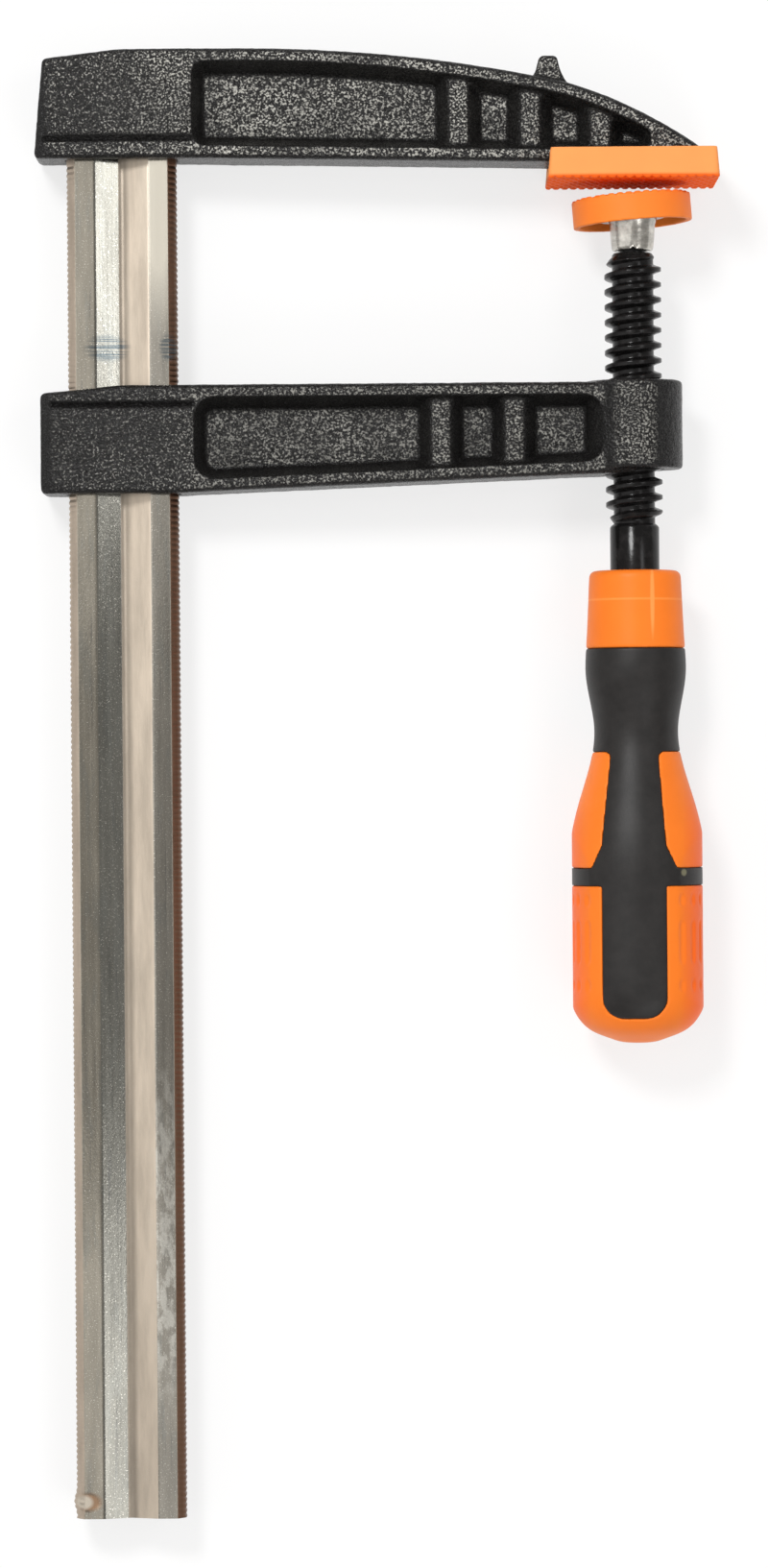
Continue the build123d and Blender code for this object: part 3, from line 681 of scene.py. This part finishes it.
class Tree:
    """A Geometry Nodes tree under construction, with named number inputs and a material input."""

    def __init__(self, name, inputs):
        self.tree = bpy.data.node_groups.new(name, "GeometryNodeTree")
        face = self.tree.interface
        face.new_socket("Geometry", in_out="INPUT", socket_type="NodeSocketGeometry")
        for key, value in inputs.items():
            face.new_socket(key, in_out="INPUT", socket_type="NodeSocketFloat").default_value = value
        face.new_socket("Material", in_out="INPUT", socket_type="NodeSocketMaterial")
        face.new_socket("Geometry", in_out="OUTPUT", socket_type="NodeSocketGeometry")
        self.new, self.link = self.tree.nodes.new, self.tree.links.new
        self.given = self.new("NodeGroupInput").outputs
        self.end = self.new("NodeGroupOutput")

    def calc(self, operation, first, second=None):
        made = self.new("ShaderNodeMath")
        made.operation = operation
        for socket, value in zip(made.inputs, (first, second)):
            if isinstance(value, bpy.types.NodeSocket):
                self.link(value, socket)
            elif value is not None:
                socket.default_value = value
        return made.outputs[0]

    def times(self, first, *others):
        """The product of two or more values."""
        for other in others:
            first = self.calc("MULTIPLY", first, other)
        return first

    def clamped(self, value):
        made = self.new("ShaderNodeClamp")
        self.link(value, made.inputs["Value"])
        return made.outputs[0]

    def axes(self):
        """The X, Y and Z of each point's place."""
        parts = self.new("ShaderNodeSeparateXYZ")
        self.link(self.new("GeometryNodeInputPosition").outputs[0], parts.inputs[0])
        return parts.outputs

    def combined(self, **parts):
        """A vector from the named parts."""
        made = self.new("ShaderNodeCombineXYZ")
        for key, value in parts.items():
            self.link(value, made.inputs[key])
        return made.outputs[0]

    def finished(self, geometry):
        """Ends the tree with plain geometry in its material."""
        plain = self.new("GeometryNodeRealizeInstances")
        self.link(geometry, plain.inputs[0])
        paint = self.new("GeometryNodeSetMaterial")
        self.link(plain.outputs[0], paint.inputs["Geometry"])
        self.link(self.given["Material"], paint.inputs["Material"])
        self.link(paint.outputs[0], self.end.inputs[0])
        return self.tree


def toothing_tree():
    """Presses notches across the edges of a bar: points move in by a wave that runs along the bar."""
    t = Tree("rail_toothing", {"Pitch": 0.0015, "Depth": 0.0004, "Top": 0.0, "Middle": 0.0})
    given, axes = t.given, t.axes()
    share = t.new("GeometryNodeInputNamedAttribute")
    share.data_type = "FLOAT"
    share.inputs["Name"].default_value = "tooth_share"
    half_pitch = t.times(given["Pitch"], 0.5)
    wave = t.calc("DIVIDE", t.calc("PINGPONG", axes["Y"], half_pitch), half_pitch)
    notch = t.clamped(t.calc("SUBTRACT", t.times(wave, NOTCH_GAIN), NOTCH_CUT))
    depth = t.times(notch, given["Depth"], share.outputs["Attribute"])
    below = t.calc("LESS_THAN", axes["Y"], given["Top"])
    side = t.calc("SIGN", t.calc("SUBTRACT", axes["X"], given["Middle"]))
    press = t.new("GeometryNodeSetPosition")
    t.link(given["Geometry"], press.inputs["Geometry"])
    t.link(t.combined(X=t.times(depth, below, side, -1.0)), press.inputs["Offset"])
    return t.finished(press.outputs[0])


def thread_tree():
    """A right-hand thread: a strip one pitch wide, wound round the root and raised to a ridge on its middle."""
    t = Tree("spindle_thread", {
        "Turns": 18.0, "Pitch": 0.004, "Root radius": 0.0055, "Ridge height": 0.002,
        "Ridge base": 0.0029, "Ridge crest": 0.0009, "Run out": 0.003, "Steps": float(THREAD_STEPS),
    })
    given = t.given
    count = t.calc("ROUND", t.times(given["Turns"], given["Steps"]))
    turns = t.calc("DIVIDE", count, given["Steps"])
    strip = t.new("GeometryNodeMeshGrid")
    strip.inputs["Size X"].default_value = 1.0
    strip.inputs["Vertices X"].default_value = STRIP_POINTS
    t.link(turns, strip.inputs["Size Y"])
    t.link(t.calc("ADD", count, 1.0), strip.inputs["Vertices Y"])
    axes = t.axes()
    across = axes["X"]
    along = t.calc("ADD", axes["Y"], t.times(turns, 0.5))
    low, high = 0.5, t.calc("SUBTRACT", turns, 0.5)
    level = t.calc("MINIMUM", t.calc("MAXIMUM", t.calc("ADD", across, along), low), high)
    height = t.times(t.calc("SUBTRACT", level, low), given["Pitch"])
    left = t.times(t.calc("SUBTRACT", high, level), given["Pitch"])
    fade = t.clamped(t.calc("DIVIDE", t.calc("MINIMUM", height, left), given["Run out"]))
    ridge = t.new("ShaderNodeMapRange")
    ridge.interpolation_type = "SMOOTHSTEP"
    t.link(t.times(t.calc("ABSOLUTE", across), given["Pitch"]), ridge.inputs["Value"])
    t.link(t.times(given["Ridge base"], 0.5), ridge.inputs["From Min"])
    t.link(t.times(given["Ridge crest"], 0.5), ridge.inputs["From Max"])
    raised = t.times(ridge.outputs["Result"], given["Ridge height"], fade)
    radius = t.calc("ADD", given["Root radius"], raised)
    angle = t.times(along, 2 * pi)
    wound = t.combined(
        X=t.times(radius, t.calc("SINE", angle)), Y=height, Z=t.times(radius, t.calc("COSINE", angle)))
    wind = t.new("GeometryNodeSetPosition")
    t.link(strip.outputs["Mesh"], wind.inputs["Geometry"])
    t.link(wound, wind.inputs["Position"])
    weld = t.new("GeometryNodeMergeByDistance")
    weld.inputs["Distance"].default_value = 1e-5
    t.link(wind.outputs[0], weld.inputs["Geometry"])
    return t.finished(weld.outputs[0])


def run_tree(holder, tree, values):
    """Runs a node tree on a holder and gives the plain mesh that it makes."""
    step = holder.modifiers.new(tree.name, "NODES")
    step.node_group = tree
    sockets = {item.name: item.identifier for item in tree.interface.items_tree if item.in_out == "INPUT"}
    for name, value in values.items():
        step[sockets[name]] = value
    return evaluated_mesh(holder)


class CLAMP_OT_rail(bpy.types.Operator):
    """Make the grooved rail with its toothed edges and punched stop"""
    bl_idname = "clamp.rail"
    bl_label = "Rail"

    def execute(self, context):
        s = settings("rail")
        section = rail_section()
        shell = bmesh.new()
        share = shell.verts.layers.float.new("tooth_share")
        rows = int((RAIL_HIGH.y - RAIL_LOW.y) / (s.tooth_pitch / ROWS_PER_TOOTH))
        rings = []
        for row in range(rows + 1):
            y = RAIL_LOW.y + (RAIL_HIGH.y - RAIL_LOW.y) * row / rows
            ring = []
            for x, z, w in section:
                px, pz = RAIL_MIDDLE + x, z
                away = Vector(((px - STOP.x) / STOP_OVAL, y - STOP.y)).length
                if z > FRONT_FROM and away < STOP_RADIUS:
                    dip = min(1.0, (STOP_RADIUS - away) / STOP_RIM)
                    pz -= STOP_DEPTH * dip * dip * (3 - 2 * dip)
                if x < -RAIL_HALF + s.bevel and abs(y - STOP.y) < BULGE_REACH:
                    px -= BULGE_HEIGHT * exp(-((y - STOP.y) / BULGE_LENGTH) ** 2) * (w > EDGE_SHARE)
                vert = shell.verts.new((px, y, pz))
                vert[share] = w
                ring.append(vert)
            rings.append(ring)
        count = len(section)
        for first, second in zip(rings, rings[1:]):
            for k in range(count):
                n = (k + 1) % count
                shell.faces.new((first[k], second[k], second[n], first[n]))
        shell.faces.new(rings[0])
        shell.faces.new(list(reversed(rings[-1])))
        bmesh.ops.recalc_face_normals(shell, faces=shell.faces)
        holder = bpy.data.objects.new("rail_holder", to_mesh(shell, "rail_bar"))
        context.scene.collection.objects.link(holder)
        finish = plated_rail_finish()
        mesh = run_tree(holder, toothing_tree(), {
            "Pitch": s.tooth_pitch, "Depth": s.tooth_depth, "Top": FIXED_LOW.y + TEETH_UNDER_ARM,
            "Middle": RAIL_MIDDLE, "Material": finish,
        })
        piece("toothed_rail", mesh, finish, "rail", "rail_steel", "rail", sharp=9.0)
        return {"FINISHED"}


def score(mesh, place, width, depth):
    """Presses a line along X into both broad sides of a mesh, at (left end, right end, height along Y)."""
    left, right, middle = place
    for vert in mesh.vertices:
        if left < vert.co.x < right and abs(vert.co.z) > SCORED_FROM:
            cut = depth * exp(-((vert.co.y - middle) / (width / 2)) ** 2)
            vert.co.z -= cut if vert.co.z > 0 else -cut


def mark_open_faces(mesh):
    """Stores how squarely each point looks out of a casting's broad sides, evened out over its neighbours."""
    facing = [abs(vert.normal.z) for vert in mesh.vertices]
    pairs = [tuple(edge.vertices) for edge in mesh.edges]
    for _ in range(EVENING_PASSES):
        total, count = facing[:], [1] * len(facing)
        for a, b in pairs:
            total[a] += facing[b]
            total[b] += facing[a]
            count[a] += 1
            count[b] += 1
        facing = [value / share for value, share in zip(total, count)]
    mesh.attributes.new("open_face", "FLOAT", "POINT").data.foreach_set("value", facing)


class CLAMP_OT_castings(bpy.types.Operator):
    """Make the fixed and the sliding arm as soft-edged castings"""
    bl_idname = "clamp.castings"
    bl_label = "Cast arms"

    def execute(self, context):
        s = settings("casting")
        waves = ((LUMP_SIZE, s.unevenness), (PEBBLE_SIZE, s.pebbling))
        for node, body, glint_share, glint_brightness in CASTINGS:
            finish = cast_lacquer_finish(node + "_lacquer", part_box(node)[0].x, glint_share, glint_brightness)
            mesh = skin(node, s.grain, s.passes, waves)
            score(mesh, HEAD_LINES[node], s.line_width, s.line_depth)
            mark_open_faces(mesh)
            piece(node + "_casting", mesh, finish, body, "cast_black", node, sharp=60.0)
        return {"FINISHED"}


def waffle(mesh, origin, normal, pitch, depth):
    """Presses a pattern of staggered bricks into the faces of a mesh that look along a normal at a plane."""
    normal = normal.normalized()
    along = normal.cross(Vector((0.0, 0.0, 1.0))).normalized()
    row_pitch = pitch * ROW_TO_BRICK
    for vert in mesh.vertices:
        offset = vert.co - origin
        if abs(offset.dot(normal)) > FACE_REACH or vert.normal.dot(normal) < FACE_LEAN:
            continue
        across = offset.z / row_pitch + 0.5
        row = floor(across)
        length = offset.dot(along) / pitch + 0.5 * (row % 2)
        ends = (0.5 + 0.5 * cos(2 * pi * length)) ** END_NARROWNESS
        sides = (0.5 + 0.5 * cos(2 * pi * across)) ** ROW_NARROWNESS
        vert.co -= normal * depth * max(ends, sides)


class CLAMP_OT_pads(bpy.types.Operator):
    """Make the fixed jaw's pad and the pressure cap with their gripping pattern"""
    bl_idname = "clamp.pads"
    bl_label = "Pads"

    def execute(self, context):
        s = settings("pads")
        # The pad's gripping face gets a deeper orange as painted shade.
        finish = orange_plastic_finish("orange_pad", tuple(s.lit_pad_orange), 0.16, 0.7, (SHADED_GRIPPING_FACE,))
        mesh = skin("fixed_jaw_pad", PAD_CELL, MOULDED_PASSES)
        waffle(mesh, Vector((0.0, 0.0, 0.0)), Vector((0.0, -1.0, 0.0)), s.waffle_pitch, s.waffle_depth)
        piece("jaw_pad", mesh, finish, "rail", "orange_plastic", "fixed_jaw_pad", sharp=60.0)
        finish = orange_plastic_finish("orange_cap", tuple(s.cap_orange), 0.25, 0.6)
        mesh = skin("pressure_cap", PAD_CELL, MOULDED_PASSES)
        place, facing = Vector(PRESSURE_FACE["pos_m"]), Vector(PRESSURE_FACE["axis"])
        waffle(mesh, place, facing, s.waffle_pitch, s.waffle_depth)
        piece("pressure_pad_cap", mesh, finish, "pressure_pad", "orange_plastic", "pressure_cap", sharp=60.0)
        return {"FINISHED"}


class CLAMP_OT_spindle(bpy.types.Operator):
    """Make the spindle with its helical thread"""
    bl_idname = "clamp.spindle"
    bl_label = "Spindle"

    def execute(self, context):
        s = settings("spindle")
        finish = black_oxide_finish()
        root, shank = s.root_diameter / 2, s.shank_diameter / 2
        turns = round((s.thread_top - s.thread_end) / s.pitch * THREAD_STEPS) / THREAD_STEPS
        thread_top = s.thread_end + turns * s.pitch
        top = SPINDLE_HIGH.y
        tip = [
            (0.0, top), (0.0024, top - 0.0009), (0.0039, top - 0.0028), (0.0041, top - 0.0046),
            (0.0034, top - 0.0066), (0.0034, SOCKET_LOW.y - 0.0004), (root * 0.93, SOCKET_LOW.y - 0.0006),
            (root, thread_top),
        ]
        stem = [
            (root, s.thread_end), (shank - 0.0003, s.thread_end - 0.0006), (shank, s.thread_end - 0.0011),
            (shank, CORE_HIGH.y - 0.004), (0.0, CORE_HIGH.y - 0.004),
        ]
        holder = bpy.data.objects.new("thread_holder", bpy.data.meshes.new("thread_seed"))
        context.scene.collection.objects.link(holder)
        thread = run_tree(holder, thread_tree(), {
            "Turns": turns + 1.0, "Pitch": s.pitch, "Root radius": root, "Steps": float(THREAD_STEPS),
            "Ridge height": s.crest_diameter / 2 - root, "Material": finish,
        })
        thread.transform(Matrix.Translation((0.0, s.thread_end, 0.0)))
        core = lathe(tip, THREAD_STEPS)
        for part in (thread, to_mesh(lathe(stem, THREAD_STEPS), "stem")):
            core.from_mesh(part)
            bpy.data.meshes.remove(part)
        bmesh.ops.remove_doubles(core, verts=core.verts, dist=2e-5)
        bmesh.ops.recalc_face_normals(core, faces=core.faces)
        mesh = to_mesh(core, "spindle_screw")
        piece("spindle_screw", mesh, finish, "spindle", "spindle_black", "spindle", sharp=50.0)
        return {"FINISHED"}


class CLAMP_OT_swivel(bpy.types.Operator):
    """Make the crimped neck and finish the plate inside the pressure cap"""
    bl_idname = "clamp.swivel"
    bl_label = "Swivel"

    def execute(self, context):
        finish = bright_zinc_finish("socket_zinc", (0.74, 0.71, 0.65))
        low, high = SOCKET_LOW.y, SOCKET_HIGH.y
        ball = (SOCKET_HIGH.x - SOCKET_LOW.x) / 2
        centre = PIVOT.y
        head = [(ball * cos(a), centre + ball * sin(a)) for a in (0.2, 0.1, 0.0, -0.1, -0.2, -0.3, -0.4)]
        neck = (
            (0.00588, 0.0054), (0.00578, 0.0034), (0.00556, 0.0014), (0.00545, 0.0006), (0.0052, 0.0001),
            (0.0048, 0.0), (0.0038, 0.0001), (0.0037, 0.002), (0.0, 0.002),
        )
        profile = [(0.0, high), (sqrt(ball ** 2 - (high - centre) ** 2), high), *head]
        shell = lathe(profile + [(radius, low + rise) for radius, rise in neck], NECK_STEPS)
        for vert in shell.verts:
            rise = vert.co.y - low
            if rise < NICK_HEIGHT:
                turn = atan2(vert.co.x, vert.co.z)
                nick = max(0.0, cos(2 * turn)) ** NICK_NARROWNESS * (1 - rise / NICK_HEIGHT)
                vert.co.x *= 1 - NICK_DEPTH * nick
                vert.co.z *= 1 - NICK_DEPTH * nick
                vert.co.y += NICK_LIFT * nick * (rise < NICK_LIP)
        mesh = to_mesh(shell, "socket_neck")
        piece("socket_neck", mesh, finish, "swivel", "socket_zinc", "swivel_socket", sharp=50.0)
        plate = frame["nodes"]["pressure_plate"]
        plate.data.materials.clear()
        plate.data.materials.append(bright_zinc_finish("plate_steel", (0.55, 0.54, 0.52)))
        return {"FINISHED"}


class CLAMP_OT_handle(bpy.types.Operator):
    """Make the orange handle core and the black grip moulded over it"""
    bl_idname = "clamp.handle"
    bl_label = "Handle"

    def execute(self, context):
        s = settings("handle")
        # The handle's marks include painted shade on its sides, besides its mould marks.
        orange = orange_plastic_finish("orange_handle", tuple(s.orange), 0.18, 0.5, HANDLE_MARKS_AND_SHADE)
        mesh = skin("handle_core", s.core_skin, MOULDED_PASSES)
        piece("handle_body", mesh, orange, "spindle", "orange_plastic", "handle_core", sharp=60.0)
        mesh = skin("handle_grip", s.grip_skin, MOULDED_PASSES)
        black = soft_grip_finish()
        piece("handle_soft_grip", mesh, black, "spindle", "grip_rubber", "handle_grip", sharp=60.0)
        return {"FINISHED"}


class CLAMP_OT_stage(bpy.types.Operator):
    """Make the floor, the lights and the camera"""
    bl_idname = "clamp.stage"
    bl_label = "Stage"

    def execute(self, context):
        s = settings("stage")
        scene = context.scene
        scene.view_settings.view_transform = "Standard"
        self.floor(scene)
        self.world(scene)
        self.lamps(scene)
        camera = bpy.data.cameras.new("camera")
        camera.sensor_width = SENSOR
        camera.lens = SENSOR * s.distance / s.view_height
        camera.clip_start, camera.clip_end = 0.05, 50.0
        seat = bpy.data.objects.new("camera", camera)
        seat.location = (*CAMERA_PLACE, s.distance)
        seat.rotation_euler = (0.0, 0.0, s.roll)
        scene.collection.objects.link(seat)
        scene.camera = seat
        return {"FINISHED"}

    def floor(self, scene):
        """A pale floor under the handle and the heads, which shows near white and keeps a soft shadow."""
        shell = bmesh.new()
        bmesh.ops.create_grid(shell, x_segments=2, y_segments=2, size=FLOOR_SIZE)
        mesh = to_mesh(shell, "floor")
        rest = GRIP_LOW.z
        lean = atan2(FIXED_LOW.z + HEAD_REST - rest, -FIXED_LOW.x)
        mesh.transform(Matrix.Translation((0.0, 0.0, rest - FLOOR_DROP)) @ Matrix.Rotation(lean, 4, "Y"))
        made = bpy.data.objects.new("floor", mesh)
        f = Finish("pale_floor")
        f.set(Base_Color=(0.9, 0.9, 0.9, 1.0), Roughness=0.9, Specular_IOR_Level=0.1)
        white = f.node("ShaderNodeEmission", Color=(1.0, 1.0, 1.0, 1.0), Strength=1.0)
        path = f.tree.nodes.new("ShaderNodeLightPath")
        seen = f.calc("MAXIMUM", path.outputs["Is Camera Ray"], path.outputs["Is Glossy Ray"])
        seen = f.calc("MAXIMUM", seen, path.outputs["Is Transmission Ray"])
        mix = f.tree.nodes.new("ShaderNodeMixShader")
        f.link(f.product(seen, FLOOR_WHITE), mix.inputs[0])
        f.link(f.shader.outputs[0], mix.inputs[1])
        f.link(white.outputs[0], mix.inputs[2])
        f.link(mix.outputs[0], f.surface)
        mesh.materials.append(f.material)
        scene.collection.objects.link(made)

    def world(self, scene):
        """An even, faintly warm sky."""
        world = bpy.data.worlds.new("studio")
        scene.world = world
        world.use_nodes = True
        back = world.node_tree.nodes["Background"]
        back.inputs["Color"].default_value = SKY
        back.inputs["Strength"].default_value = SKY_STRENGTH

    def lamps(self, scene):
        """Soft lamps, some of which are there for what the plated rail mirrors."""
        for name, place, size, power in LAMPS:
            lamp = bpy.data.lights.new(name, "AREA")
            lamp.shape = "RECTANGLE"
            lamp.size, lamp.size_y = size
            lamp.energy = power
            made = bpy.data.objects.new(name, lamp)
            made.location = place
            made.rotation_euler = (LAMP_AIM - Vector(place)).to_track_quat("-Z", "Y").to_euler()
            made.visible_camera = False
            scene.collection.objects.link(made)


class CLAMP_PT_panel(bpy.types.Panel):
    """The clamp's pieces and their sizes"""
    bl_label = "Screw clamp"
    bl_idname = "CLAMP_PT_panel"
    bl_space_type = "VIEW_3D"
    bl_region_type = "UI"
    bl_category = "Clamp"

    def draw(self, context):
        for name, _ in GROUPS:
            box = self.layout.box()
            group = settings(name)
            for key in group.bl_rna.properties.keys():
                if key not in ("rna_type", "name"):
                    box.prop(group, key)
        for operator in OPERATORS:
            self.layout.operator(operator.bl_idname)


GROUPS = (
    ("rail", RailSettings), ("casting", CastingSettings), ("spindle", SpindleSettings), ("pads", PadSettings),
    ("handle", HandleSettings), ("stage", StageSettings),
)
OPERATORS = (
    CLAMP_OT_rail, CLAMP_OT_castings, CLAMP_OT_pads, CLAMP_OT_spindle, CLAMP_OT_swivel, CLAMP_OT_handle,
    CLAMP_OT_stage,
)


def register():
    for name, group in GROUPS:
        bpy.utils.register_class(group)
        setattr(bpy.types.Scene, "clamp_" + name, PointerProperty(type=group))
    for item in (*OPERATORS, CLAMP_PT_panel):
        bpy.utils.register_class(item)


def unregister():
    for item in reversed((*OPERATORS, CLAMP_PT_panel)):
        bpy.utils.unregister_class(item)
    for name, group in reversed(GROUPS):
        delattr(bpy.types.Scene, "clamp_" + name)
        bpy.utils.unregister_class(group)


def main():
    register()
    bpy.ops.clamp.rail()
    bpy.ops.clamp.castings()
    bpy.ops.clamp.pads()
    bpy.ops.clamp.spindle()
    bpy.ops.clamp.swivel()
    bpy.ops.clamp.handle()
    bpy.ops.clamp.stage()


if __name__ == "__main__":
    main()
